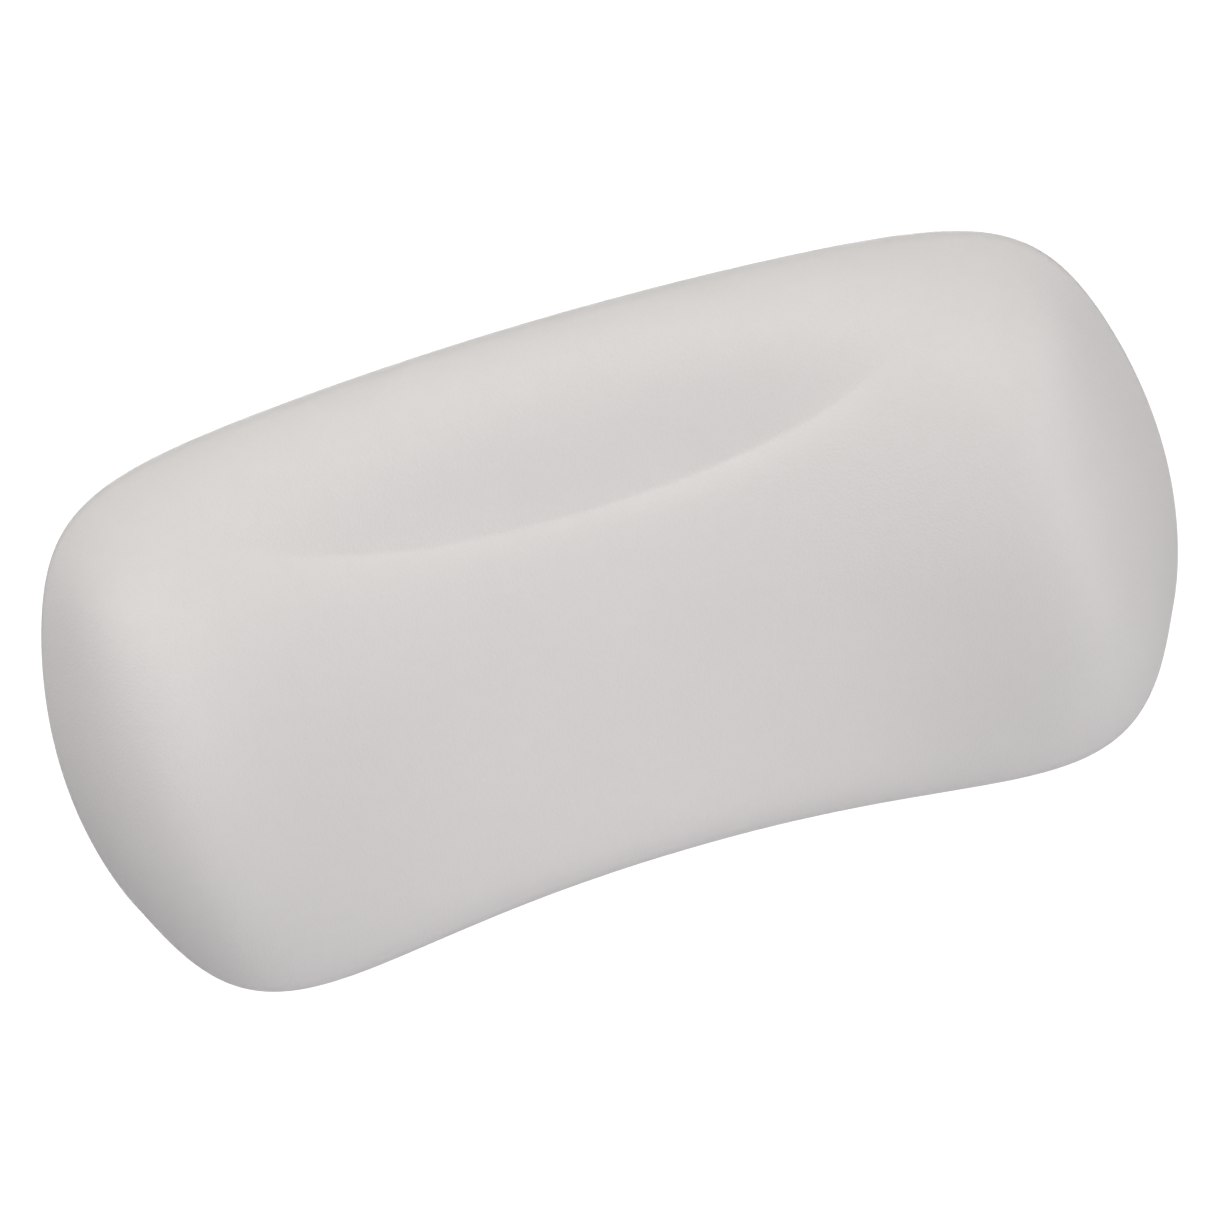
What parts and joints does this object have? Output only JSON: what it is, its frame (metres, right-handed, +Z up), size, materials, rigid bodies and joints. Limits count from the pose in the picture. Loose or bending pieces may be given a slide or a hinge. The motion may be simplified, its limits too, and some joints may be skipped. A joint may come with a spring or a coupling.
{
  "type": "bath pillow",
  "caption": "Moulded neck pillow for a bathtub: a curved soft body with a neck roll and a hollow for the head, held on the tub wall by swivelling suction cups on its back.",
  "frame": {"origin": "on the tub wall, in the middle of the suction cups' rims and level with the pillow's mid height", "axes": "+X to the right along the pillow as seen from its face, +Y into the tub wall, +Z up"},
  "size_m": [0.2946, 0.1025, 0.142],
  "materials": {
    "skin": "satin",
    "foam": "matte",
    "plate": "satin",
    "socket": "satin",
    "cup": "gloss"
  },
  "bodies": {
    "pillow": {"pillow_skin": "skin", "foam_core": "foam", "stiffener_plate": "plate", "cup_socket_upper_left": "socket", "cup_socket_upper_right": "socket", "cup_socket_lower_left": "socket", "cup_socket_lower_right": "socket"},
    "cup_upper_left": {"suction_cup_upper_left": "cup"},
    "cup_upper_right": {"suction_cup_upper_right": "cup"},
    "cup_lower_left": {"suction_cup_lower_left": "cup"},
    "cup_lower_right": {"suction_cup_lower_right": "cup"}
  },
  "joints": [
    {"name": "cup_swivel_upper_left", "type": "hinge", "parent": "pillow", "child": "cup_upper_left", "pos_m": [-0.058, 0, 0.036], "axis": [0, 1, 0], "continuous": true},
    {"name": "cup_swivel_upper_right", "type": "hinge", "parent": "pillow", "child": "cup_upper_right", "pos_m": [0.058, 0, 0.036], "axis": [0, 1, 0], "continuous": true},
    {"name": "cup_swivel_lower_left", "type": "hinge", "parent": "pillow", "child": "cup_lower_left", "pos_m": [-0.058, 0, -0.036], "axis": [0, 1, 0], "continuous": true},
    {"name": "cup_swivel_lower_right", "type": "hinge", "parent": "pillow", "child": "cup_lower_right", "pos_m": [0.058, 0, -0.036], "axis": [0, 1, 0], "continuous": true}
  ]
}
